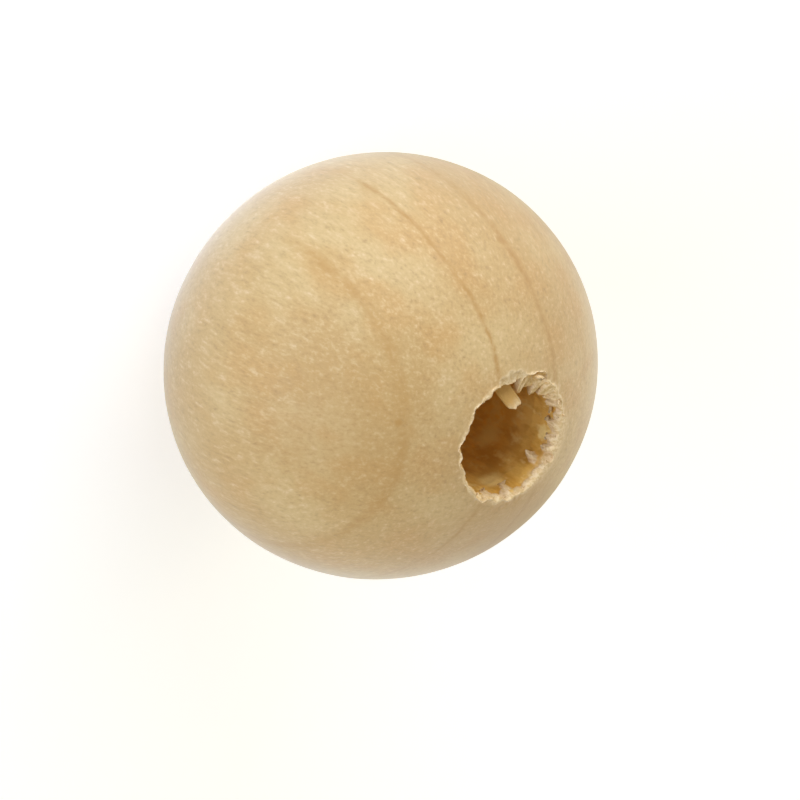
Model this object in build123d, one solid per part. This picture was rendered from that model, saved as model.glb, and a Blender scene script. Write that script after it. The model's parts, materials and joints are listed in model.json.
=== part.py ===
from build123d import *

import os
from dataclasses import dataclass
from math import cos, radians, sin, sqrt

# A wooden rondelle bead, turned from one piece and bored through. Millimetres.
# The hole runs along Z, and the bead stands on its clean mouth at Z = 0 with its
# torn mouth up. X is the line across the grain on which the wood has shrunk least.

# The turned body, with its length from mouth to mouth before the two edges wore
LONG_DIAMETER = 12.26
SHORT_DIAMETER = 11.74
LENGTH = 11.0

# The hole, and how far its two edges have worn round
BORE_DIAMETER = 3.5
CLEAN_EDGE_WEAR = 0.15
TORN_EDGE_WEAR = 0.1


@dataclass(frozen=True)
class Tear:
    """A shallow scoop where the drill pulled fibres out of the upper mouth.

    bearing is its place round the hole in degrees from X, reach is how far it bites
    outward from the wall of the hole, and scoop is the radius of its hollow.
    """

    bearing: float
    reach: float
    scoop: float


TEARS = (
    Tear(bearing=284, reach=0.34, scoop=0.46),
    Tear(bearing=250, reach=0.22, scoop=0.36),
    Tear(bearing=218, reach=0.12, scoop=0.26),
    Tear(bearing=178, reach=0.16, scoop=0.3),
    Tear(bearing=62, reach=0.13, scoop=0.34),
    Tear(bearing=16, reach=0.12, scoop=0.28),
    Tear(bearing=356, reach=0.17, scoop=0.24),
)

long_radius = LONG_DIAMETER / 2
short_radius = SHORT_DIAMETER / 2
bore_radius = BORE_DIAMETER / 2

# The body is the ball whose surface meets the wall of the hole at each end of LENGTH.
pole_height = LENGTH / 2 / sqrt(1 - (bore_radius / long_radius) ** 2)


def surface_height(x, y):
    """Height of the body's upper surface above the bead's middle at (x, y)."""
    return pole_height * sqrt(1 - (x / long_radius) ** 2 - (y / short_radius) ** 2)


def turned_body():
    """The outside as it left the lathe, then drawn in along Y as the wood dried."""
    side = EllipticalCenterArc((0, 0), long_radius, pole_height, start_angle=-90, arc_size=180)
    axis_line = Line(side @ 1, side @ 0)
    half_section = Plane.YZ * make_face(side + axis_line)
    round_body = revolve(half_section, Axis.Z)
    return scale(round_body, by=(1, short_radius / long_radius, 1))


def mouth_edges(bead):
    """The edges where the wall of the hole meets the outside, the lower one first."""
    wall = bead.faces().filter_by(GeomType.CYLINDER)[0]
    return wall.edges().filter_by(GeomType.LINE, reverse=True).sort_by(Axis.Z)


def bored(body):
    """Drills the hole right through, and rounds the edge of each mouth with wear."""
    bead = body - Cylinder(bore_radius, 2 * LENGTH)
    bead = fillet(mouth_edges(bead)[0], CLEAN_EDGE_WEAR)
    return fillet(mouth_edges(bead)[-1], TORN_EDGE_WEAR)


def torn_place(tear):
    """The scoop that one tear takes out, set on the edge of the upper mouth."""
    out = bore_radius + tear.reach - tear.scoop
    x = out * cos(radians(tear.bearing))
    y = out * sin(radians(tear.bearing))
    return Pos(x, y, surface_height(x, y)) * Sphere(tear.scoop)


bead = bored(turned_body())
for tear in TEARS:
    bead -= torn_place(tear)
bead = Pos(0, 0, -bead.bounding_box().min.Z) * bead

os.makedirs("parts", exist_ok=True)
export_step(bead, "parts/bead.step")
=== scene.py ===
"""A bare wooden bead, turned and bored from one piece, standing on its clean mouth.

The bead is one skin: its section is drawn point by point, spun round the hole, made
oval as the wood became when it dried, and then torn and worn round its upper mouth.
One splinter and many tufts of fibre stand in that mouth. Lengths in this file are in
millimetres, and become metres where a mesh, a lamp or the camera is placed. Bearings
are in degrees round the hole, from X toward Y.
"""

import json
import logging
import math
import random
from dataclasses import dataclass
from enum import Enum

import bpy
import numpy as np
from mathutils import Matrix, Vector, noise


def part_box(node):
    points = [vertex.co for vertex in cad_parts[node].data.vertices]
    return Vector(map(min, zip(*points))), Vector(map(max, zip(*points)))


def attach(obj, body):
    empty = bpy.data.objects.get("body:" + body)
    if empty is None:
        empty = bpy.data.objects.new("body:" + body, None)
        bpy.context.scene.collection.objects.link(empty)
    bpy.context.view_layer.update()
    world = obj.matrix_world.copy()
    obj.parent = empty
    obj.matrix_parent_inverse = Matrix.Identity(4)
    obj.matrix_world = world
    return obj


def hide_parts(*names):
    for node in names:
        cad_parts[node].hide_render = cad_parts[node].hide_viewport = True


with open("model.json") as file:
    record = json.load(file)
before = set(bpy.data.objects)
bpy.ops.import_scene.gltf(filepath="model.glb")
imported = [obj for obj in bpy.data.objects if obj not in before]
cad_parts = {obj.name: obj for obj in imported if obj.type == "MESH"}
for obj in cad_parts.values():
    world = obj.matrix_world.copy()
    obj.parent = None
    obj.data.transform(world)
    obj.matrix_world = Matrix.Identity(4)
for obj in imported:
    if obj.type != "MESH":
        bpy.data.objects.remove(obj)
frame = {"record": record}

logging.basicConfig(level=logging.INFO, format="%(message)s")
LOG = logging.getLogger("bead")

MM = 0.001
NODE = "bead"
BODY = "root"

Colour = tuple[float, float, float, float]
Triple = tuple[float, float, float]


class Mask(Enum):
    """The numbers from 0 to 1 that a mesh carries at its points, for its finish to read."""

    INSIDE = "inside"
    TORN = "torn"
    FRESH = "fresh"


class Axis(Enum):
    """The frame's axes, as a shader node numbers them."""

    X = 0
    Y = 1
    Z = 2


class Mouth(Enum):
    """The two ends of the hole, by the side of the bead's middle that each is on."""

    CLEAN = -1
    TORN = 1


def deselect_all() -> None:
    """Leaves object mode with nothing selected, so that an operator acts on new work only."""
    if bpy.context.object is not None and bpy.context.object.mode != "OBJECT":
        bpy.ops.object.mode_set(mode="OBJECT")
    bpy.ops.object.select_all(action="DESELECT")


def read_points(mesh: bpy.types.Mesh) -> np.ndarray:
    """Reads a mesh's points.

    Args:
        mesh: The mesh to read.

    Returns:
        The points as rows of x, y and z, in millimetres.
    """
    flat = np.empty(len(mesh.vertices) * 3)
    mesh.vertices.foreach_get("co", flat)
    return flat.reshape(-1, 3) / MM


def unit_points(mesh: bpy.types.Mesh) -> np.ndarray:
    """Reads the points of a shape that was modelled one unit across, in those units."""
    return read_points(mesh) * MM


def write_points(mesh: bpy.types.Mesh, points: np.ndarray) -> None:
    """Moves a mesh's points.

    Args:
        mesh: The mesh to change.
        points: The new places as rows of x, y and z, in millimetres.
    """
    mesh.vertices.foreach_set("co", (points * MM).ravel())
    mesh.update()


def write_mask(mesh: bpy.types.Mesh, mask: Mask, values: np.ndarray) -> None:
    """Stores one number per point, for a material to read.

    Args:
        mesh: The mesh that carries the numbers.
        mask: What the numbers say.
        values: One number per point.
    """
    layer = mesh.attributes.new(name=mask.value, type="FLOAT", domain="POINT")
    layer.data.foreach_set("value", values.astype(np.float32))


def smoothstep(low: float | np.ndarray, high: float | np.ndarray, x: np.ndarray) -> np.ndarray:
    """Rises smoothly from 0 at low to 1 at high, or falls where low is above high."""
    share = np.clip((x - low) / (high - low), 0.0, 1.0)
    return share * share * (3.0 - 2.0 * share)


def turn_between(bearing: float | np.ndarray, start: float) -> float | np.ndarray:
    """The signed angle from one bearing to another or to many, from -180 to 180 degrees."""
    return (bearing - start + 180.0) % 360.0 - 180.0


def place_at(bearing: float, radius: float, height: float) -> np.ndarray:
    """The place at a bearing, a distance from the hole's line and a height."""
    turn = math.radians(bearing)
    return np.array([radius * math.cos(turn), radius * math.sin(turn), height])


def from_line(points: np.ndarray) -> np.ndarray:
    """The distance of each point from the hole's line, in millimetres."""
    return np.hypot(points[:, 0], points[:, 1])


def pushed(points: np.ndarray, push: np.ndarray) -> np.ndarray:
    """Moves points straight away from the hole's line.

    Args:
        points: Places as rows of x, y and z, in millimetres.
        push: How far each one moves outward, in millimetres.

    Returns:
        The moved points.
    """
    moved = points.copy()
    moved[:, :2] *= (1 + push / from_line(points))[:, None]
    return moved


def noise_at(points: np.ndarray, scale: Triple, seed: float) -> np.ndarray:
    """Smooth random numbers that vary over space.

    Args:
        points: Places as rows of x, y and z, in millimetres.
        scale: Waves per millimetre along x, y and z.
        seed: Moves the pattern, so that two uses differ.

    Returns:
        One number per place, from about -1 to 1.
    """
    places = points * np.array(scale) + np.array([seed, seed * 1.7, seed * 2.3])
    return np.array([noise.noise(place) for place in places.tolist()])


@dataclass
class BeadSizes:
    """The bead's sizes, read from the frame, with what follows from them."""

    long_radius: float
    short_radius: float
    height: float
    bore_radius: float

    @classmethod
    def from_frame(cls) -> "BeadSizes":
        """Reads the node's box and the hole's mount.

        Returns:
            The sizes in millimetres.
        """
        low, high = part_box(NODE)
        bore = frame["record"]["mounts"][0]["dims"]["r_mm"]
        return cls(
            long_radius=(high[0] - low[0]) / 2 / MM,
            short_radius=(high[1] - low[1]) / 2 / MM,
            height=(high[2] - low[2]) / MM,
            bore_radius=bore,
        )

    @property
    def middle(self) -> float:
        """Height of the bead's middle above what it stands on."""
        return self.height / 2

    @property
    def pole(self) -> float:
        """Half the height that the round outside would have with no hole in it."""
        return self.middle / math.sqrt(1 - (self.bore_radius / self.long_radius) ** 2)

    @property
    def mouth(self) -> float:
        """Height of the edge of the upper mouth above the bead's middle."""
        return float(self.outside(self.bore_radius))

    def outside(self, radius: float | np.ndarray) -> float | np.ndarray:
        """Height of the outside above the middle at a distance from the hole's line."""
        return self.pole * np.sqrt(np.maximum(0.0, 1 - (radius / self.long_radius) ** 2))


@dataclass(frozen=True)
class Tear:
    """A scoop where the drill pulled fibres out of the upper mouth.

    Its reach is how far it bites outward from the wall, its scoop is the radius of its
    hollow, its height is how far the middle of that hollow lies above the mouth, and
    its floor is how pale it is inside, from 0 to 1.
    """

    bearing: float
    reach: float
    scoop: float
    height: float
    floor: float = 0.5


@dataclass(frozen=True)
class Shred:
    """A strip of fibre raised from the wall under the upper mouth.

    Its span is its width in degrees. It runs down the wall from its top to its end,
    both measured from the mouth, and its stand is how far it reaches into the hole.
    """

    bearing: float
    span: float
    end: float
    stand: float
    top: float = 0.0


@dataclass(frozen=True)
class DrillMarks:
    """How far each kind of mark that the drill left stands out, in millimetres.

    Flutes run along the wall, fine ridges lie between them, crumbs are the smallest
    bits, and the thread is the spiral of the drill's lip.
    """

    flutes: float
    fine: float
    crumbs: float
    thread: float = 0.0


@dataclass
class BeadSkin:
    """The whole surface of the bead, outside and down the hole, as one closed mesh.

    Turns counts the steps of the spin, and the rings count the points of the section
    on the body, near the upper mouth, down the rim under it and down the wall. The
    torn mouth is shaped within torn_reach of the wall and torn_depth of the bead's
    top, and the drill's roughness ends at drilled_reach from the wall.
    """

    sizes: BeadSizes
    turns: int = 480
    body_rings: int = 78
    mouth_rings: int = 32
    rim_rings: int = 38
    wall_rings: int = 26
    mouth_reach: float = 0.8
    rim_depth: float = 1.1
    lip: float = 0.07
    lip_points: int = 5
    swell: float = 0.03
    dents: float = 0.008
    worn_bearing: float = 156.0
    worn_spread: float = 58.0
    worn_lip: float = 0.2
    crisp_lip: float = 0.03
    crisp_burr: float = 0.045
    lip_highlight_width: float = 0.15
    worn_edge_width: float = 0.5
    feed: float = 0.36
    rim_marks: DrillMarks = DrillMarks(flutes=0.06, fine=0.03, crumbs=0.01)
    wall_marks: DrillMarks = DrillMarks(flutes=0.026, fine=0.012, crumbs=0.005, thread=0.01)
    torn_crumbs: float = 0.012
    torn_reach: float = 1.0
    torn_depth: float = 1.6
    drilled_reach: float = 0.45
    tears: tuple[Tear, ...] = (
        Tear(bearing=288, reach=0.28, scoop=0.3, height=0.2, floor=0.15),
        Tear(bearing=280, reach=0.33, scoop=0.31, height=0.2, floor=0.15),
        Tear(bearing=271, reach=0.27, scoop=0.3, height=0.2, floor=0.15),
        Tear(bearing=247, reach=0.2, scoop=0.3, height=0.03, floor=0.0),
        Tear(bearing=218, reach=0.04, scoop=0.26, height=0.06),
        Tear(bearing=178, reach=0.05, scoop=0.3, height=0.05),
        Tear(bearing=150, reach=0.12, scoop=0.2, height=-0.1, floor=0.0),
        Tear(bearing=62, reach=0.1, scoop=0.34, height=0.05),
        Tear(bearing=14, reach=0.1, scoop=0.26, height=0.05),
        Tear(bearing=358, reach=0.15, scoop=0.24, height=0.04),
        Tear(bearing=322, reach=0.12, scoop=0.4, height=0.24),
    )
    shreds: tuple[Shred, ...] = (
        Shred(bearing=62, span=13, end=0.18, stand=0.03),
        Shred(bearing=72, span=10, end=0.3, stand=0.05),
        Shred(bearing=80, span=9, end=0.62, stand=0.06),
        Shred(bearing=88, span=11, end=0.3, stand=0.05),
        Shred(bearing=97, span=9, end=0.4, stand=0.07),
        Shred(bearing=104, span=8, end=0.68, stand=0.06, top=0.3),
        Shred(bearing=110, span=9, end=0.24, stand=0.04),
        Shred(bearing=122, span=20, end=0.22, stand=0.03),
        Shred(bearing=136, span=16, end=0.26, stand=0.05),
        Shred(bearing=144, span=10, end=0.7, stand=0.2, top=0.42),
        Shred(bearing=149, span=12, end=0.21, stand=0.04),
        Shred(bearing=157, span=9, end=0.44, stand=0.1),
        Shred(bearing=167, span=11, end=0.4, stand=0.11),
        Shred(bearing=180, span=12, end=0.47, stand=0.13),
        Shred(bearing=190, span=12, end=0.3, stand=0.07),
        Shred(bearing=203, span=13, end=0.46, stand=0.15),
        Shred(bearing=214, span=13, end=0.4, stand=0.2),
        Shred(bearing=226, span=15, end=0.5, stand=0.34),
        Shred(bearing=238, span=17, end=0.52, stand=0.46, top=0.12),
        Shred(bearing=251, span=18, end=0.5, stand=0.48, top=0.14),
        Shred(bearing=263, span=16, end=0.44, stand=0.47, top=0.08),
        Shred(bearing=278, span=26, end=0.2, stand=0.1, top=-0.1),
    )
    seed: int = 7

    def lip_corner(self, mouth: Mouth) -> list[tuple[float, float]]:
        """The small round between the outside and the wall of the hole.

        Args:
            mouth: The end of the hole that the corner is at.

        Returns:
            Points from the outside inward, as radius and height above the middle.
        """
        start, turn = 75, 105
        centre_r = self.sizes.bore_radius + self.lip
        centre_z = float(self.sizes.outside(centre_r)) - self.lip
        steps = range(self.lip_points + 1)
        angles = [math.radians(start + turn * step / self.lip_points) for step in steps]
        return [
            (
                centre_r + self.lip * math.cos(angle),
                mouth.value * (centre_z + self.lip * math.sin(angle)),
            )
            for angle in angles
        ]

    def section(self) -> list[tuple[float, float]]:
        """Works out the bead's half section, finest round the upper mouth.

        Returns:
            Points once round the section, as radius and height above the middle.
        """
        sizes = self.sizes
        upper = self.lip_corner(Mouth.TORN)
        lower = self.lip_corner(Mouth.CLEAN)
        end = math.acos(upper[0][0] / sizes.long_radius)
        near = math.acos((upper[0][0] + self.mouth_reach) / sizes.long_radius)
        body = np.linspace(-end, near, self.body_rings)[1:]
        mouth = np.linspace(near, end, self.mouth_rings)[1:-1]
        arc = [
            (sizes.long_radius * math.cos(angle), sizes.pole * math.sin(angle))
            for angle in [*body, *mouth]
        ]
        top, bottom = upper[-1][1], lower[-1][1]
        rim = np.linspace(top, top - self.rim_depth, self.rim_rings)[1:]
        wall = np.linspace(top - self.rim_depth, bottom, self.wall_rings)[1:-1]
        inner = [(sizes.bore_radius, z) for z in [*rim, *wall]]
        return arc + upper + inner + lower[::-1]

    def spun(self) -> bpy.types.Object:
        """Draws the section point by point and spins it once round the hole.

        Returns:
            The object, with its place in its mesh.
        """
        deselect_all()
        points = [Vector((radius, 0.0, height)) * MM for radius, height in self.section()]
        bpy.ops.mesh.primitive_plane_add(size=MM, location=(0, 0, 0))
        skin = bpy.context.object
        skin.name = "wood_bead"
        bpy.ops.object.mode_set(mode="EDIT")
        bpy.ops.mesh.select_all(action="SELECT")
        bpy.ops.mesh.merge(type="CENTER")
        bpy.ops.transform.translate(value=points[0])
        for here, there in zip(points, points[1:]):
            bpy.ops.mesh.extrude_region_move(TRANSFORM_OT_translate={"value": there - here})
        bpy.ops.object.mode_set(mode="OBJECT")
        ends = (0, len(skin.data.vertices) - 1)
        for vertex in skin.data.vertices:
            vertex.select = vertex.index in ends
        bpy.ops.object.mode_set(mode="EDIT")
        bpy.ops.mesh.edge_face_add()
        bpy.ops.mesh.select_all(action="SELECT")
        bpy.ops.mesh.spin(steps=self.turns, angle=math.tau, center=(0, 0, 0), axis=(0, 0, 1))
        bpy.ops.mesh.select_all(action="SELECT")
        bpy.ops.mesh.remove_doubles(threshold=0.002 * MM)
        bpy.ops.mesh.normals_make_consistent(inside=False)
        bpy.ops.object.mode_set(mode="OBJECT")
        bpy.ops.object.shade_smooth()
        return skin

    def made_oval(self, points: np.ndarray) -> np.ndarray:
        """Narrows the outside along Y as drying did, and leaves the hole round.

        Args:
            points: The points of the round skin.

        Returns:
            The moved points.
        """
        sizes = self.sizes
        out = from_line(points) - sizes.bore_radius
        share = smoothstep(0.1, 1.6, out)
        narrow = 1 - (1 - sizes.short_radius / sizes.long_radius) * share
        return points * np.stack([np.ones_like(narrow), narrow, np.ones_like(narrow)], axis=1)

    def uneven(self, points: np.ndarray) -> np.ndarray:
        """Adds the slight unevenness of a bead that was turned and then tumbled.

        Args:
            points: The points of the smooth skin.

        Returns:
            The points, with those of the outside moved.
        """
        broad = noise_at(points, (0.16, 0.16, 0.22), 41.0 + self.seed)
        small = noise_at(points, (0.8, 0.8, 0.5), 43.0 + self.seed)
        outside = smoothstep(0.1, 0.8, from_line(points) - self.sizes.bore_radius)
        length = np.maximum(np.linalg.norm(points, axis=1), 1e-6)
        rise = outside * (self.swell * broad + self.dents * small)
        return points * (1 + rise / length)[:, None]

    def wear_at(self, points: np.ndarray) -> np.ndarray:
        """Works out how much the upper mouth has rubbed at each point's bearing.

        Args:
            points: Points near the upper mouth.

        Returns:
            One number per point, from 0 where the edge is crisp to 1.
        """
        bearing = np.degrees(np.arctan2(points[:, 1], points[:, 0]))
        off = abs(turn_between(bearing, self.worn_bearing))
        return smoothstep(self.worn_spread, 0.3 * self.worn_spread, off)

    def worn(self, points: np.ndarray, wear: np.ndarray) -> np.ndarray:
        """Rounds the upper lip where the bead has rubbed.

        Args:
            points: Points near the upper mouth.
            wear: How worn each one's bearing is, from 0 to 1.

        Returns:
            The moved points.
        """
        bore = self.sizes.bore_radius
        radius = from_line(points)
        lip = self.crisp_lip + (self.worn_lip - self.crisp_lip) * wear
        lip = lip * (1 + 0.4 * noise_at(points, (1.6, 1.6, 0.4), 3.1 + self.seed))
        out = np.maximum(radius - bore, 0.0)
        down = np.maximum(self.sizes.outside(np.maximum(radius, bore)) - points[:, 2], 0.0)
        in_corner = (out < lip) & (down < lip)
        length = np.maximum(np.hypot(out - lip, down - lip), 1e-9)
        new_out = np.where(in_corner, lip + (out - lip) / length * lip, out)
        new_down = np.where(in_corner, lip + (down - lip) / length * lip, down)
        moved = pushed(points, new_out - out)
        moved[:, 2] -= new_down - down
        return moved

    def tear_centre(self, tear: Tear) -> np.ndarray:
        """Works out where the middle of a tear's hollow lies.

        Args:
            tear: The tear, which bites outward by its reach at the mouth's height.

        Returns:
            The place, above the bead's middle.
        """
        half = math.sqrt(max(tear.scoop**2 - tear.height**2, 0.0))
        radius = self.sizes.bore_radius + tear.reach - half
        return place_at(tear.bearing, radius, self.sizes.mouth + tear.height)

    def torn_out(self, points: np.ndarray) -> tuple[np.ndarray, np.ndarray]:
        """Scoops out the hollows that the drill tore in the upper mouth.

        Args:
            points: Points near the upper mouth.

        Returns:
            The moved points, and how freshly torn each one is, from 0 to 1.
        """
        ragged = noise_at(points, (7.0, 7.0, 1.4), 11.0 + self.seed)
        ragged += 0.5 * noise_at(points, (16.0, 16.0, 4.0), 17.0 + self.seed)
        nearest = np.full(len(points), np.inf)
        floor = np.zeros(len(points))
        moved = points.copy()
        for tear in self.tears:
            centre = self.tear_centre(tear)
            away = moved - centre
            distance = np.maximum(np.linalg.norm(away, axis=1), 1e-6)
            hollow = tear.scoop * (1 + 0.1 * ragged)
            inside = distance < hollow
            moved[inside] = centre + away[inside] / distance[inside, None] * hollow[inside, None]
            share = np.linalg.norm(points - centre, axis=1) / tear.scoop
            floor = np.where(share < nearest, tear.floor, floor)
            nearest = np.minimum(nearest, share)
        pale = floor + (1 - floor) * smoothstep(0.76, 0.96, nearest)
        return moved, smoothstep(1.2, 1.02, nearest) * pale

    def raised(self, points: np.ndarray) -> tuple[np.ndarray, np.ndarray]:
        """Raises the shreds of fibre from the wall.

        Args:
            points: Points near the upper mouth.

        Returns:
            How far each point moves outward, which is 0 or less, and how freshly torn
            it is, from 0 to 1.
        """
        bearing = np.degrees(np.arctan2(points[:, 1], points[:, 0]))
        bearing = bearing + 3.0 * noise_at(points, (4.0, 4.0, 3.0), 5.0 + self.seed)
        ragged = 0.06 * noise_at(points, (11.0, 11.0, 1.5), 7.0 + self.seed)
        depth = self.sizes.mouth - points[:, 2] + ragged
        uneven = 1 + 0.5 * noise_at(points, (3.4, 3.4, 2.6), 9.0 + self.seed)
        at_wall = smoothstep(0.25, 0.04, from_line(points) - self.sizes.bore_radius)
        push = np.zeros(len(points))
        fresh = np.zeros(len(points))
        for shred in self.shreds:
            across = abs(turn_between(bearing, shred.bearing)) / (shred.span / 2)
            run = shred.end - shred.top
            end = shred.end - 0.3 * run * np.minimum(across, 1.0) ** 2
            above = smoothstep(end + 0.05, end, depth)
            down = smoothstep(shred.top - 0.04, shred.top + 0.45 * run, depth)
            begun = smoothstep(shred.top - 0.04, shred.top + 0.02, depth)
            lift = shred.stand * uneven * smoothstep(1.2, 0.2, across) * down * above
            push = np.minimum(push, -lift)
            fresh = np.maximum(fresh, smoothstep(1.3, 0.9, across) * above * begun)
        return push * at_wall, fresh * at_wall

    def roughness(self, points: np.ndarray, fresh: np.ndarray, wear: np.ndarray) -> np.ndarray:
        """Works out the ragged rim and the rough wall that the drill left.

        Args:
            points: Points in the hole or near its upper mouth.
            fresh: How pale each one is, from 0 to 1, where it is freshly torn, where the lip is
                worn and where the crisp lip has a painted highlight.
            wear: How worn each one's bearing is, from 0 to 1.

        Returns:
            How far each point moves outward.
        """
        turn = np.arctan2(points[:, 1], points[:, 0])
        depth = self.sizes.mouth - points[:, 2]
        wall = smoothstep(0.4, 0.02, from_line(points) - self.sizes.bore_radius)
        rim = wall * smoothstep(0.7, 0.02, abs(depth)) * (0.85 - 0.35 * wear)
        flutes = noise_at(points, (5.0, 5.0, 0.6), 23.0 + self.seed)
        fine = noise_at(points, (9.5, 9.5, 3.0), 29.0 + self.seed)
        crumbs = noise_at(points, (21.0, 21.0, 19.0), 31.0 + self.seed)
        wander = noise_at(points, (0.9, 0.9, 0.7), 37.0 + self.seed)
        thread = np.sin(turn + math.tau * depth / self.feed + 3.0 * wander)
        thread *= smoothstep(0.3, 1.2, depth)
        push = np.zeros(len(points))
        for place, marks in ((rim, self.rim_marks), (wall, self.wall_marks)):
            relief = marks.flutes * flutes + marks.fine * fine + marks.crumbs * crumbs
            push += place * (relief + marks.thread * thread)
        return push + fresh * self.torn_crumbs * crumbs

    def torn_mouth(
        self, points: np.ndarray, wear: np.ndarray
    ) -> tuple[np.ndarray, np.ndarray]:
        """Shapes the upper mouth: its lip, its hollows and its shreds.

        Args:
            points: Points near the upper mouth.
            wear: How worn each one's bearing is, from 0 to 1.

        Returns:
            The moved points, and how pale each one is, from 0 to 1: freshly torn in the hollows
            and shreds, worn along the rubbed lip, and a painted highlight along the crisp lip.
        """
        moved = self.worn(points, wear)
        out = from_line(moved) - self.sizes.bore_radius
        down = self.sizes.mouth - moved[:, 2]
        ragged = noise_at(moved, (6.0, 6.0, 4.0), 13.0 + self.seed)
        corner = np.hypot(np.maximum(out, 0), np.maximum(down, 0)) - 0.04 * ragged
        # The pale band along the lip: a painted highlight where the lip is crisp, widening into
        # pale worn wood where it is rubbed.
        width = self.lip_highlight_width + (self.worn_edge_width - self.lip_highlight_width) * wear
        edge = smoothstep(width, 0.06, corner)
        burr = self.crisp_burr + 0.02 * ragged
        moved[:, 2] += burr * smoothstep(0.12, 0.03, corner) * (1 - wear)
        moved, hollows = self.torn_out(moved)
        push, strips = self.raised(moved)
        return pushed(moved, push), np.maximum.reduce([hollows, strips, 0.95 * edge])

    def build(self) -> bpy.types.Object:
        """Makes the skin and stores where it is inside the hole and where it is pale: torn, worn,
        and along the crisp lip a painted highlight.

        Returns:
            The finished mesh object.
        """
        skin = self.spun()
        points = read_points(skin.data)
        out = from_line(points) - self.sizes.bore_radius
        points = self.uneven(self.made_oval(points))

        near_top = points[:, 2] > self.sizes.middle - self.torn_depth
        upper = (out < self.torn_reach) & near_top
        wear = np.zeros(len(points))
        torn = np.zeros(len(points))
        wear[upper] = self.wear_at(points[upper])
        points[upper], torn[upper] = self.torn_mouth(points[upper], wear[upper])

        hole = out < self.drilled_reach
        push = self.roughness(points[hole], torn[hole], wear[hole])
        points[hole] = pushed(points[hole], push)

        points[:, 2] += self.sizes.middle
        write_points(skin.data, points)
        write_mask(skin.data, Mask.INSIDE, smoothstep(0.06, 0.005, out))
        write_mask(skin.data, Mask.TORN, torn)
        return skin


class Value:
    """A shader socket that can be used in Python arithmetic."""

    def __init__(self, tree: "ShaderTree", socket: bpy.types.NodeSocket) -> None:
        """Wraps one output socket of a tree."""
        self.tree = tree
        self.socket = socket

    def _math(self, operation: str, *terms: "Value | float") -> "Value":
        """Adds one Math node on this tree and returns its result."""
        return self.tree.node("ShaderNodeMath", {"operation": operation}, dict(enumerate(terms)))

    def __add__(self, other: "Value | float") -> "Value":
        """Sum."""
        return self._math("ADD", self, other)

    def __sub__(self, other: "Value | float") -> "Value":
        """Difference."""
        return self._math("SUBTRACT", self, other)

    def __rsub__(self, other: "Value | float") -> "Value":
        """Difference from a number."""
        return self._math("SUBTRACT", other, self)

    def __mul__(self, other: "Value | float") -> "Value":
        """Product."""
        return self._math("MULTIPLY", self, other)

    def __truediv__(self, other: "Value | float") -> "Value":
        """Quotient."""
        return self._math("DIVIDE", self, other)

    def __pow__(self, other: "Value | float") -> "Value":
        """Power."""
        return self._math("POWER", self, other)

    __radd__ = __add__
    __rmul__ = __mul__

    def size(self) -> "Value":
        """The number without its sign."""
        return self._math("ABSOLUTE", self)

    def ramp(self, low: float, high: float) -> "Value":
        """Rises smoothly from 0 to 1, or falls where low is above high.

        Args:
            low: Where the result is 0.
            high: Where the result is 1.

        Returns:
            The result, held between 0 and 1.
        """
        rising = low < high
        ends = (low, high, 0.0, 1.0) if rising else (high, low, 1.0, 0.0)
        return self.tree.node(
            "ShaderNodeMapRange",
            {"interpolation_type": "SMOOTHSTEP", "clamp": True},
            {0: self, 1: ends[0], 2: ends[1], 3: ends[2], 4: ends[3]},
        )


class ShaderTree:
    """The nodes of a material or of the surround, all made through one method."""

    def __init__(self, owner: bpy.types.Material | bpy.types.World) -> None:
        """Empties the owner's nodes, ready for new ones."""
        owner.use_nodes = True
        self.owner = owner
        self.nodes = owner.node_tree.nodes
        self.links = owner.node_tree.links
        self.nodes.clear()

    def node(
        self,
        kind: str,
        settings: dict | None = None,
        inputs: dict | None = None,
        output: int | str = 0,
    ) -> Value:
        """Adds a node, sets it up and feeds it.

        Args:
            kind: The node's type.
            settings: Properties of the node, set first.
            inputs: Values or links for its input sockets, by index or name.
            output: The output socket to hand back.

        Returns:
            The chosen output, wrapped.
        """
        made = self.nodes.new(kind)
        for key, value in (settings or {}).items():
            setattr(made, key, value)
        for key, value in (inputs or {}).items():
            if isinstance(value, Value):
                self.links.new(value.socket, made.inputs[key])
            else:
                made.inputs[key].default_value = value
        return Value(self, made.outputs[output]) if made.outputs else Value(self, None)

    def place(self, scale: Triple = (1.0, 1.0, 1.0)) -> Value:
        """The place on the piece in millimetres, stretched by a scale."""
        here = self.node("ShaderNodeTexCoord", output="Object")
        size = tuple(part / MM for part in scale)
        return self.node("ShaderNodeMapping", inputs={"Vector": here, "Scale": size})

    def along(self, axis: Axis) -> Value:
        """How far along one axis a place on the piece is, in millimetres."""
        inputs = {"Vector": self.place()}
        return self.node("ShaderNodeSeparateXYZ", inputs=inputs, output=axis.value)

    def grain(self, scale: Triple, detail: float = 2.0, rough: float = 0.5) -> Value:
        """Cloudy random numbers round 0.5, with waves per millimetre along x, y and z."""
        place = self.place(scale)
        return self.node(
            "ShaderNodeTexNoise",
            inputs={"Vector": place, "Scale": 1.0, "Detail": detail, "Roughness": rough},
        )

    def blend(self, factor: Value | float, first: Value | Colour, second: Value | Colour) -> Value:
        """Mixes two colours by a factor."""
        return self.node(
            "ShaderNodeMix",
            {"data_type": "RGBA", "clamp_factor": True},
            {0: factor, 6: first, 7: second},
            output=2,
        )

    def stored(self, mask: Mask) -> Value:
        """Reads a number that the mesh carries."""
        return self.node("ShaderNodeAttribute", {"attribute_name": mask.value}, output="Fac")

    def bump(self, height: Value, strength: float, distance: float) -> Value:
        """Turns a height into a normal, with its full depth in millimetres."""
        return self.node(
            "ShaderNodeBump",
            inputs={"Strength": strength, "Distance": distance * MM, "Height": height},
        )


@dataclass(frozen=True)
class GrowthLine:
    """One line of late wood, by its distance from the tree's heart, in millimetres.

    It fades out below the height that fades names.
    """

    radius: float
    width: float
    strength: float
    fades: float = 2.0


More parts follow.
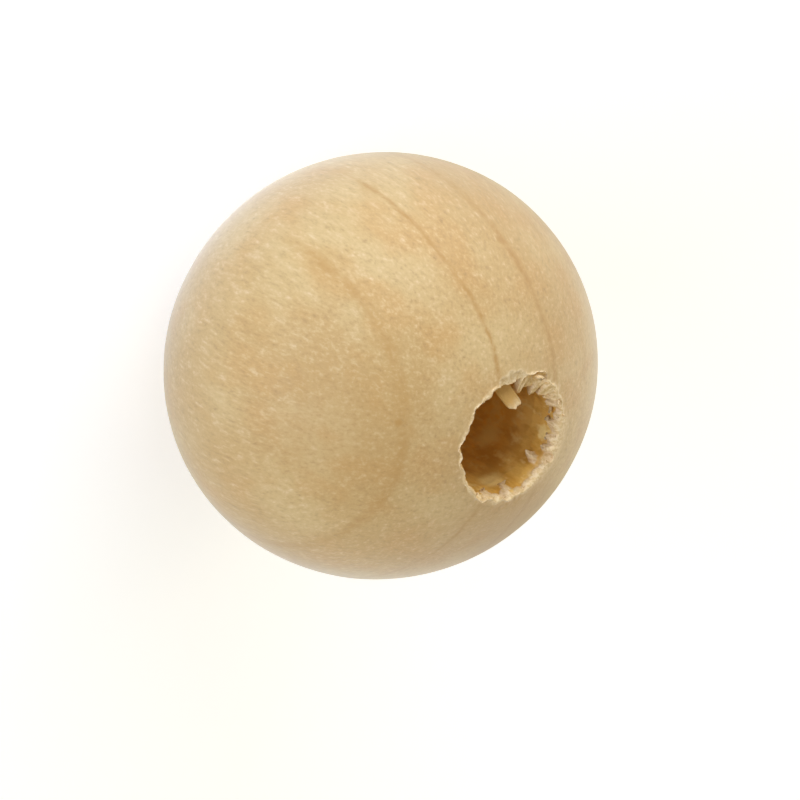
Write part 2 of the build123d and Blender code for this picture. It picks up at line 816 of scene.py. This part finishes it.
@dataclass(frozen=True)
class Mark:
    """A patch of another colour: its middle, its radius in millimetres and its strength."""

    place: Triple
    radius: float
    strength: float


@dataclass(frozen=True)
class Grains:
    """The fine patterns of the wood, from its coarsest to its finest."""

    streaks: Value
    flecks: Value
    fuzz: Value


@dataclass(frozen=True)
class BareWood:
    """Bare turned wood: streaks along the hole, growth lines across it, torn end grain.

    Pale, tan and warm are the wood itself, line is its late wood, its stains and the painted
    shade of the broad patches, and raw is fibre freshly torn, which also paints the highlight
    along the crisp upper lip. The wall of the hole has painted shade under the upper mouth: it
    is darkest above the first of its two heights and clear of that shade below the second.
    The heart is where the middle of the tree lay, as x and y, and the growth lines are rings round
    it.
    """

    pale: Colour = (0.59, 0.405, 0.172, 1.0)
    tan: Colour = (0.53, 0.33, 0.118, 1.0)
    warm: Colour = (0.55, 0.315, 0.1, 1.0)
    light_fleck: Colour = (0.75, 0.57, 0.33, 1.0)
    dark_fleck: Colour = (0.37, 0.21, 0.07, 1.0)
    line: Colour = (0.46, 0.245, 0.056, 1.0)
    raw: Colour = (0.84, 0.65, 0.39, 1.0)
    raw_shade: Colour = (0.66, 0.46, 0.22, 1.0)
    wall: Colour = (1.0, 0.645, 0.17, 1.0)
    wall_dark: Colour = (0.55, 0.265, 0.035, 1.0)
    wall_pale: Colour = (1.0, 0.78, 0.31, 1.0)
    sheen_tint: Colour = (1.0, 0.97, 0.9, 1.0)
    # Two heights of the painted shade on the wall: darkest above the first, clear below the
    # second.
    wall_shade_heights: tuple[float, float] = (10.4, 8.4)
    heart: tuple[float, float] = (14.2, -0.5)
    lines: tuple[GrowthLine, ...] = (
        GrowthLine(radius=8.9, width=0.2, strength=0.16),
        GrowthLine(radius=10.86, width=0.26, strength=0.62, fades=7.0),
        GrowthLine(radius=13.5, width=0.13, strength=0.9, fades=6.0),
        GrowthLine(radius=15.55, width=0.17, strength=1.0, fades=5.0),
        GrowthLine(radius=17.2, width=0.17, strength=0.4),
        GrowthLine(radius=19.0, width=0.14, strength=0.45),
    )
    marks: tuple[Mark, ...] = (
        Mark(place=(1.8, -5.6, 6.0), radius=0.4, strength=0.4),
        Mark(place=(4.0, -4.2, 7.0), radius=0.7, strength=0.25),
        Mark(place=(3.5, -2.7, 9.3), radius=0.45, strength=0.25),
        Mark(place=(3.45, -0.75, 10.1), radius=0.16, strength=0.9),
        Mark(place=(-0.65, -4.8, 8.7), radius=0.2, strength=0.7),
        Mark(place=(-0.75, -1.65, 10.75), radius=0.22, strength=0.8),
        # The last four patches, broad and faint, are painted shade: the first and third darken the
        # middle of the side that faces the camera, the second and fourth the +Y side just under
        # the upper mouth.
        Mark(place=(4.7, -0.5, 9.1), radius=2.6, strength=0.2),
        Mark(place=(-0.5, 2.6, 10.5), radius=3.2, strength=0.3),
        Mark(place=(4.3, -0.3, 9.3), radius=3.4, strength=0.2),
        Mark(place=(-1.2, 3.0, 10.1), radius=1.8, strength=0.35),
    )
    wall_marks: tuple[Mark, ...] = (
        Mark(place=(-1.38, 1.08, 8.6), radius=0.6, strength=1.0),
        Mark(place=(-0.4, 1.7, 9.9), radius=0.45, strength=0.6),
    )

    def growth(self, tree: ShaderTree, colour: Value) -> Value:
        """Draws the growth lines, wavering and broken as late wood is.

        Args:
            tree: The material's nodes.
            colour: The wood's colour without them.

        Returns:
            The colour with them.
        """
        out_x = tree.along(Axis.X) - self.heart[0]
        out_y = tree.along(Axis.Y) - self.heart[1]
        wander = tree.grain((0.3, 0.3, 0.16), detail=1.0) - 0.5
        tremble = tree.grain((2.6, 2.6, 1.6), detail=2.0) - 0.5
        age = (out_x * out_x + out_y * out_y) ** 0.5 + wander * 0.4 + tremble * 0.16
        patches = tree.grain((0.8, 0.8, 0.6), detail=1.0).ramp(0.34, 0.6)
        dashes = tree.grain((5.0, 5.0, 2.2), detail=2.0, rough=0.7).ramp(0.36, 0.6)
        present = (patches * 0.4 + 0.6) * (dashes * 0.5 + 0.5)
        height = tree.along(Axis.Z)
        for late in self.lines:
            near = (age - late.radius).size().ramp(late.width, 0.0)
            kept = height.ramp(late.fades - 2.0, late.fades) * 0.75 + 0.25
            colour = tree.blend(near * present * kept * late.strength, colour, self.line)
        return colour

    def marked(
        self, tree: ShaderTree, colour: Value, marks: tuple[Mark, ...], stain: Colour
    ) -> Value:
        """Adds soft patches with uneven edges.

        Args:
            tree: The material's nodes.
            colour: The colour without them.
            marks: The patches.
            stain: Their colour.

        Returns:
            The colour with them.
        """
        soft = tree.grain((2.4, 2.4, 1.4), detail=3.0, rough=0.6)
        for mark in marks:
            away = tree.node(
                "ShaderNodeVectorMath",
                {"operation": "DISTANCE"},
                {0: tree.place(), 1: mark.place},
                "Value",
            )
            near = (away / mark.radius + soft - 0.5).ramp(1.0, 0.25)
            colour = tree.blend(near * mark.strength, colour, stain)
        return colour

    def outer(self, tree: ShaderTree, grains: Grains, torn: Value) -> Value:
        """Colours the outside: clouds of pale, tan and warm wood, flecks, lines, stains and broad
        patches of painted shade.

        Args:
            tree: The material's nodes.
            grains: The fine patterns that the whole bead shares.
            torn: How pale each place is: freshly torn, worn, and along the crisp lip a painted
                highlight.

        Returns:
            The colour.
        """
        clouds = tree.grain((0.45, 0.45, 0.3), detail=3.0)
        hue = tree.grain((0.9, 0.9, 0.5), detail=2.0)
        colour = tree.blend(clouds.ramp(0.32, 0.66), self.tan, self.pale)
        colour = tree.blend(hue.ramp(0.42, 0.7) * 0.7, colour, self.warm)
        tone = grains.streaks * 0.45 + grains.flecks * 0.35 + grains.fuzz * 0.2
        plain = 1 - torn
        colour = tree.blend(tone.ramp(0.48, 0.8) * plain, colour, self.dark_fleck)
        colour = tree.blend(tone.ramp(0.52, 0.2) * plain, colour, self.light_fleck)
        return self.marked(tree, self.growth(tree, colour), self.marks, self.line)

    def inner(self, tree: ShaderTree, grains: Grains) -> Value:
        """Colours the wall of the hole: mottled, with painted shade near the upper mouth, fluffy
        in places.

        Args:
            tree: The material's nodes.
            grains: The fine patterns that the whole bead shares.

        Returns:
            The colour.
        """
        mottle = tree.grain((1.5, 1.5, 1.0), detail=4.0, rough=0.6)
        fluff = tree.grain((2.2, 2.2, 1.6), detail=3.0, rough=0.6)
        bright = (mottle * 0.7 + grains.streaks * 0.3).ramp(0.4, 0.6) * 0.4
        # Painted shade: the wall is darkened toward the upper mouth, under the rim.
        bright = bright + tree.along(Axis.Z).ramp(*self.wall_shade_heights) * 0.6
        colour = tree.blend(bright, self.wall_dark, self.wall)
        colour = tree.blend(fluff.ramp(0.5, 0.66) * 0.6, colour, self.wall_pale)
        return self.marked(tree, colour, self.wall_marks, self.wall_pale)

    def material(self) -> bpy.types.Material:
        """Builds the finish.

        Returns:
            The material, which reads the masks that the skin carries.
        """
        tree = ShaderTree(bpy.data.materials.new("bare_wood"))
        torn = tree.stored(Mask.TORN)
        grains = Grains(
            streaks=tree.grain((6.5, 6.5, 1.7), detail=3.0, rough=0.6),
            flecks=tree.grain((11.0, 11.0, 4.0), detail=2.0, rough=0.6),
            fuzz=tree.grain((16.0, 16.0, 10.0), detail=2.0, rough=0.6),
        )
        broken = (grains.streaks * 0.5 + grains.fuzz * 0.5).ramp(0.4, 0.6)
        raw = tree.blend(broken, self.raw_shade, self.raw)
        height = grains.streaks * 0.4 + grains.flecks * 0.35 + grains.fuzz * 0.35
        relief = tree.bump(height, 0.55, 0.03)
        roughness = tree.grain((3.0, 3.0, 1.0)) * 0.2 + 0.52
        outside = tree.node(
            "ShaderNodeBsdfPrincipled",
            inputs={
                "Base Color": tree.blend(torn * 0.9, self.outer(tree, grains, torn), raw),
                "Roughness": roughness,
                "Normal": relief,
                "Specular IOR Level": 0.45,
                "Sheen Weight": 0.7,
                "Sheen Roughness": 0.5,
                "Sheen Tint": self.sheen_tint,
            },
        )
        bored = tree.node(
            "ShaderNodeBsdfPrincipled",
            inputs={
                "Base Color": tree.blend(torn * 0.9, self.inner(tree, grains), raw),
                "Roughness": roughness,
                "Normal": relief,
                "Specular IOR Level": 0.25,
            },
        )
        inside = tree.stored(Mask.INSIDE)
        surface = tree.node("ShaderNodeMixShader", inputs={0: inside, 1: outside, 2: bored})
        tree.node("ShaderNodeOutputMaterial", inputs={"Surface": surface})
        return tree.owner


@dataclass(frozen=True)
class RawFibre:
    """Torn wood fibre, brown toward its root and pale toward where it broke."""

    pale: Colour = (0.72, 0.53, 0.29, 1.0)
    tan: Colour = (0.6, 0.4, 0.175, 1.0)
    root: Colour = (0.54, 0.31, 0.085, 1.0)

    def material(self) -> bpy.types.Material:
        """Builds the finish.

        Returns:
            The material, which reads the mask that the fibres carry.
        """
        tree = ShaderTree(bpy.data.materials.new("raw_fibre"))
        streaks = tree.grain((8.0, 8.0, 2.4), detail=3.0, rough=0.6)
        fuzz = tree.grain((20.0, 20.0, 6.0), detail=2.0)
        colour = tree.blend((streaks * 0.6 + fuzz * 0.4).ramp(0.38, 0.62), self.tan, self.pale)
        colour = tree.blend(tree.stored(Mask.FRESH), self.root, colour)
        shader = tree.node(
            "ShaderNodeBsdfPrincipled",
            inputs={
                "Base Color": colour,
                "Roughness": fuzz * 0.2 + 0.6,
                "Normal": tree.bump(streaks * 0.7 + fuzz * 0.3, 0.5, 0.02),
                "Specular IOR Level": 0.35,
                "Sheen Weight": 0.2,
                "Sheen Roughness": 0.5,
            },
        )
        tree.node("ShaderNodeOutputMaterial", inputs={"Surface": shader})
        return tree.owner


@dataclass(frozen=True)
class Tuft:
    """A blunt bundle of fibres that still hangs on to the wall of the hole.

    Its depth is how far below the mouth it is rooted, its width and thickness are
    halves, and its lean into the hole and its twist along the wall are in degrees.
    """

    bearing: float
    depth: float
    length: float
    width: float
    thick: float
    lean: float
    twist: float


@dataclass(frozen=True)
class RaggedStretch:
    """Where fine tufts stand: the middle and half width of the stretch, and its share."""

    bearing: float
    spread: float
    share: float


@dataclass(frozen=True)
class Splinter:
    """The flat splinter over the hole, by its root, its tip and its section.

    Root and tip are given as a bearing, a distance from the hole's line and a height
    above the mouth. It tapers by a share of its width and sags along its middle.
    """

    root: Triple = (287.0, 1.76, -0.42)
    tip: Triple = (271.5, 0.92, -0.05)
    width: float = 0.47
    thick: float = 0.1
    taper: float = 0.2
    sag: float = 0.06
    ridge: float = 0.03


@dataclass
class TornFibres:
    """The bundles of raised fibre round the upper mouth, and the one long splinter.

    The known tufts stand where the photograph shows them. As many finer ones as loose
    says are scattered over the ragged stretches of the mouth. Each is sunk a little
    into the wall.
    """

    sizes: BeadSizes
    long_splinter: Splinter = Splinter()
    loose: int = 80
    seed: int = 21
    ragged: tuple[RaggedStretch, ...] = (
        RaggedStretch(bearing=205, spread=58, share=1.0),
        RaggedStretch(bearing=84, spread=26, share=0.7),
    )
    least_ragged: float = 0.15
    sunk: float = 0.03
    known: tuple[Tuft, ...] = (
        Tuft(bearing=158, depth=0.48, length=0.22, width=0.06, thick=0.05, lean=48, twist=-14),
        Tuft(bearing=168, depth=0.5, length=0.2, width=0.07, thick=0.04, lean=52, twist=-20),
        Tuft(bearing=182, depth=0.6, length=0.26, width=0.08, thick=0.05, lean=56, twist=18),
        Tuft(bearing=197, depth=0.5, length=0.24, width=0.08, thick=0.05, lean=50, twist=-22),
        Tuft(bearing=221, depth=0.5, length=0.3, width=0.1, thick=0.07, lean=56, twist=10),
        Tuft(bearing=250, depth=0.1, length=0.2, width=0.1, thick=0.08, lean=4, twist=-10),
        Tuft(bearing=82, depth=0.66, length=0.24, width=0.06, thick=0.04, lean=46, twist=-25),
        Tuft(bearing=104, depth=0.74, length=0.24, width=0.06, thick=0.04, lean=44, twist=24),
    )

    @property
    def rim(self) -> float:
        """Height of the upper mouth above what the bead stands on."""
        return self.sizes.middle + self.sizes.mouth

    def bundle(self) -> bpy.types.Object:
        """Models one straight blunt bundle of unit length, which every tuft copies.

        Returns:
            The bundle, standing along Z on the origin.
        """
        deselect_all()
        bpy.ops.mesh.primitive_circle_add(vertices=8, radius=1.0, fill_type="NGON")
        bundle = bpy.context.object
        bpy.ops.object.mode_set(mode="EDIT")
        bpy.ops.mesh.select_all(action="SELECT")
        for rise, scale in ((0.3, 1.0), (0.3, 0.96), (0.22, 0.9), (0.14, 0.84), (0.04, 0.6)):
            bpy.ops.mesh.extrude_region_move(TRANSFORM_OT_translate={"value": (0, 0, rise)})
            bpy.ops.transform.resize(value=(scale, scale, 1.0))
        bpy.ops.mesh.select_all(action="SELECT")
        bpy.ops.mesh.normals_make_consistent(inside=False)
        bpy.ops.object.mode_set(mode="OBJECT")
        return bundle

    def bent(self, straight: np.ndarray, tuft: Tuft, number: int) -> np.ndarray:
        """Bends a bundle, roughens it and roots it in the wall of the hole.

        Args:
            straight: The points of the straight bundle.
            tuft: Its place and sizes.
            number: Varies its roughness.

        Returns:
            The points in millimetres, in the frame.
        """
        along = straight[:, 2]
        rough = noise_at(straight, (1.3, 1.3, 2.2), 3.7 * number)
        ragged = noise_at(straight, (2.4, 2.4, 0.2), 5.3 * number)
        girth = 1 + 0.6 * rough
        across = straight[:, 1] * tuft.width * girth
        deep = straight[:, 0] * tuft.thick * girth
        rise = along * tuft.length * (1 + 0.55 * ragged * (along > 0.7))
        bend = math.radians(tuft.lean) * (0.35 + 0.65 * along)
        inward = np.sin(bend) * rise + deep * np.cos(bend)
        height = np.cos(bend) * rise - deep * np.sin(bend)
        across = across + math.sin(math.radians(tuft.twist)) * rise
        radius = self.sizes.bore_radius + self.sunk - inward
        turn = math.radians(tuft.bearing)
        x = radius * math.cos(turn) - across * math.sin(turn)
        y = radius * math.sin(turn) + across * math.cos(turn)
        return np.stack([x, y, height + self.rim - tuft.depth], axis=1)

    def raggedness(self, bearing: float) -> float:
        """How ragged the mouth is at a bearing, from 0 to 1."""
        return max(
            stretch.share
            * math.exp(-((turn_between(bearing, stretch.bearing) / stretch.spread) ** 2))
            for stretch in self.ragged
        )

    def scattered(self) -> list[Tuft]:
        """Draws the small tufts, thickest where the mouth is most torn.

        Returns:
            The tufts, smallest beside the crisp part of the edge.
        """
        chance = random.Random(self.seed)
        tufts: list[Tuft] = []
        while len(tufts) < self.loose:
            bearing = chance.uniform(0, 360)
            wild = self.raggedness(bearing)
            if chance.random() > wild or wild < self.least_ragged:
                continue
            width = chance.uniform(0.012, 0.035) * (0.5 + 0.5 * wild)
            tufts.append(
                Tuft(
                    bearing=bearing,
                    depth=chance.uniform(0.0, 0.62) * wild + 0.04,
                    length=chance.uniform(0.06, 0.2) * (0.35 + 0.65 * wild),
                    width=width,
                    thick=width * chance.uniform(0.5, 0.9),
                    lean=chance.uniform(0, 70),
                    twist=chance.uniform(-35, 35),
                )
            )
        return tufts

    def splinter(self) -> bpy.types.Object:
        """Models the flat splinter that lies out over the hole.

        Returns:
            The splinter, with its place in its mesh.
        """
        deselect_all()
        bpy.ops.mesh.primitive_cube_add(size=1.0, location=(0, 0, 0))
        splinter = bpy.context.object
        bpy.ops.object.mode_set(mode="EDIT")
        bpy.ops.mesh.select_all(action="SELECT")
        bpy.ops.mesh.bevel(offset=0.12, segments=2, affect="EDGES")
        bpy.ops.mesh.select_all(action="SELECT")
        bpy.ops.mesh.subdivide(number_cuts=6)
        bpy.ops.object.mode_set(mode="OBJECT")
        shape = self.long_splinter
        root = place_at(*shape.root)
        run = place_at(*shape.tip) - root
        side = np.cross(run, (0.0, 0.0, 1.0))
        side /= np.linalg.norm(side)
        over = np.cross(side, run)
        over /= np.linalg.norm(over)
        flat = unit_points(splinter.data) + np.array([0.0, 0.0, 0.5])
        ridges = noise_at(flat, (5.0, 3.0, 1.2), 2.0)
        ragged = noise_at(flat, (4.0, 2.0, 0.3), 9.0)
        along = flat[:, 2] * (1 + 0.1 * ragged * (flat[:, 2] > 0.75))
        width = shape.width * (1 - shape.taper * along + 0.12 * ridges)
        height = flat[:, 1] * shape.thick * (1 - 0.25 * along)
        height += shape.ridge * ridges - shape.sag * np.sin(math.pi * along)
        points = root + along[:, None] * run
        points += (flat[:, 0] * width)[:, None] * side + height[:, None] * over
        points[:, 2] += self.rim
        write_points(splinter.data, points)
        write_mask(splinter.data, Mask.FRESH, smoothstep(0.78, 0.98, flat[:, 2]))
        return splinter

    def build(self) -> bpy.types.Object:
        """Makes every tuft and the splinter, joined as one piece.

        Returns:
            The joined object.
        """
        bundle = self.bundle()
        straight = unit_points(bundle.data)
        made = [self.splinter()]
        for number, tuft in enumerate([*self.known, *self.scattered()]):
            mesh = bundle.data.copy()
            write_points(mesh, self.bent(straight, tuft, number))
            write_mask(mesh, Mask.FRESH, smoothstep(0.1, 0.6, straight[:, 2]))
            copy = bpy.data.objects.new(f"tuft_{number}", mesh)
            bpy.context.collection.objects.link(copy)
            made.append(copy)
        deselect_all()
        for part in made:
            part.select_set(True)
        bpy.context.view_layer.objects.active = made[0]
        bpy.ops.object.join()
        fibres = bpy.context.object
        fibres.name = "torn_fibres"
        bpy.data.objects.remove(bundle)
        bpy.ops.object.mode_set(mode="EDIT")
        bpy.ops.mesh.select_all(action="SELECT")
        bpy.ops.mesh.normals_make_consistent(inside=False)
        bpy.ops.object.mode_set(mode="OBJECT")
        bpy.ops.object.transform_apply(location=True, rotation=True, scale=True)
        bpy.ops.object.shade_smooth_by_angle(angle=math.radians(55))
        return fibres


@dataclass(frozen=True)
class SoftBox:
    """One soft square lamp: which way it hangs from the bead, its power, tint and size."""

    name: str
    toward: Triple
    power: float
    tint: Triple
    away: float = 200.0
    side: float = 170.0


@dataclass
class Studio:
    """The pale floor, the soft boxes and the camera.

    The boxes are named by the side of the picture that they light. The camera's right
    and up are the picture's own directions in the frame, fitted to the photograph,
    and bead_pixel is where the middle of the bead lies in it.
    """

    sizes: BeadSizes
    floor_size: float = 380.0
    floor_colour: Colour = (0.82, 0.82, 0.82, 1.0)
    floor_glow: float = 0.45
    surround: float = 0.175
    boxes: tuple[SoftBox, ...] = (
        SoftBox(name="top", toward=(0.1, -0.97, 0.15), power=0.335, tint=(0.9, 1.0, 1.18)),
        SoftBox(name="left", toward=(0.95, -0.1, 0.12), power=0.425, tint=(0.88, 1.02, 1.28)),
        SoftBox(name="top_right", toward=(-0.6, -0.75, 0.2), power=0.2, tint=(1.05, 0.99, 0.82)),
        SoftBox(name="right", toward=(-0.6, -0.1, 0.8), power=0.0569, tint=(1.14, 0.98, 0.5)),
        SoftBox(name="bottom", toward=(0.16, 0.92, 0.36), power=0.0983, tint=(1.16, 0.98, 0.44)),
        SoftBox(name="behind", toward=(-0.85, 0.45, 0.12), power=0.088, tint=(1.12, 0.98, 0.6)),
        SoftBox(name="above", toward=(0.2, -0.2, 1.0), power=0.0259, tint=(1.04, 1.0, 0.86)),
    )
    lens: float = 197.0
    sensor: float = 36.0
    distance: float = 120.0
    picture: int = 800
    bead_pixel: tuple[float, float] = (381.3, 366.0)
    right: Triple = (-0.75433, -0.12286, 0.64489)
    up: Triple = (-0.15724, -0.91993, -0.35918)

    def floor(self) -> bpy.types.Object:
        """Lays the pale floor that the bead stands on.

        Returns:
            The floor.
        """
        deselect_all()
        bpy.ops.mesh.primitive_plane_add(size=self.floor_size * MM, location=(0, 0, 0))
        ground = bpy.context.object
        ground.name = "floor"
        tree = ShaderTree(bpy.data.materials.new("pale_floor"))
        matt = tree.node("ShaderNodeBsdfDiffuse", inputs={"Color": self.floor_colour})
        seen = tree.node("ShaderNodeLightPath", output="Is Camera Ray")
        glow = tree.node("ShaderNodeEmission", inputs={"Strength": seen * self.floor_glow})
        surface = tree.node("ShaderNodeAddShader", inputs={0: matt, 1: glow})
        tree.node("ShaderNodeOutputMaterial", inputs={"Surface": surface})
        ground.data.materials.append(tree.owner)
        return ground

    def world(self) -> None:
        """Sets an even pale surround, which the camera sees as white."""
        tree = ShaderTree(bpy.data.worlds.new("surround"))
        bpy.context.scene.world = tree.owner
        white = (1.0, 1.0, 1.0, 1.0)
        dim = tree.node("ShaderNodeBackground", inputs={0: white, 1: self.surround})
        full = tree.node("ShaderNodeBackground", inputs={0: white, 1: 1.0})
        seen = tree.node("ShaderNodeLightPath", output="Is Camera Ray")
        surface = tree.node("ShaderNodeMixShader", inputs={0: seen, 1: dim, 2: full})
        tree.node("ShaderNodeOutputWorld", inputs={"Surface": surface})

    def lamp(self, box: SoftBox) -> None:
        """Hangs one soft box so that it faces the bead.

        Args:
            box: The lamp to hang.
        """
        direction = Vector(box.toward).normalized()
        middle = Vector((0, 0, self.sizes.middle))
        deselect_all()
        bpy.ops.object.light_add(type="AREA", location=(middle + direction * box.away) * MM)
        lamp = bpy.context.object
        lamp.name = box.name
        lamp.data.size = box.side * MM
        lamp.data.energy = box.power
        lamp.data.color = box.tint
        lamp.rotation_euler = direction.to_track_quat("Z", "Y").to_euler()

    def camera(self) -> bpy.types.Object:
        """Places the camera at the photograph's viewing angle, turned as it was held.

        Returns:
            The camera.
        """
        right = Vector(self.right).normalized()
        up = Vector(self.up)
        up = (up - right * up.dot(right)).normalized()
        back = right.cross(up)
        scale = self.distance / (self.lens / self.sensor * self.picture)
        aside = (self.picture / 2 - self.bead_pixel[0]) * scale
        above = (self.bead_pixel[1] - self.picture / 2) * scale
        place = back * self.distance + right * aside + up * above
        place += Vector((0, 0, self.sizes.middle))
        deselect_all()
        bpy.ops.object.camera_add(location=place * MM)
        camera = bpy.context.object
        camera.rotation_euler = Matrix((right, up, back)).transposed().to_euler()
        camera.data.lens = self.lens
        camera.data.sensor_width = self.sensor
        camera.data.clip_start = 1.0 * MM
        camera.data.clip_end = 10.0
        bpy.context.scene.camera = camera
        return camera

    def build(self) -> None:
        """Sets up the floor, the surround, the lamps and the camera."""
        self.floor()
        self.world()
        for box in self.boxes:
            self.lamp(box)
        self.camera()
        bpy.context.scene.view_settings.view_transform = "Standard"


def dress(piece: bpy.types.Object, material: bpy.types.Material) -> None:
    """Gives a piece its one finish and fastens it to the bead's body.

    Args:
        piece: The finished mesh object.
        material: Its finish.
    """
    piece.data.materials.clear()
    piece.data.materials.append(material)
    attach(piece, BODY)


def main() -> None:
    """Builds the bead, its torn fibres and the studio."""
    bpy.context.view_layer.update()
    sizes = BeadSizes.from_frame()
    LOG.info("sizes: %s", sizes)

    skin = BeadSkin(sizes).build()
    dress(skin, BareWood().material())
    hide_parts(NODE)
    LOG.info("wood_bead: %d points", len(skin.data.vertices))

    fibres = TornFibres(sizes).build()
    dress(fibres, RawFibre().material())
    LOG.info("torn_fibres: %d points", len(fibres.data.vertices))

    Studio(sizes).build()
    LOG.info("studio: floor, surround, lamps and camera")


if __name__ == "__main__":
    main()
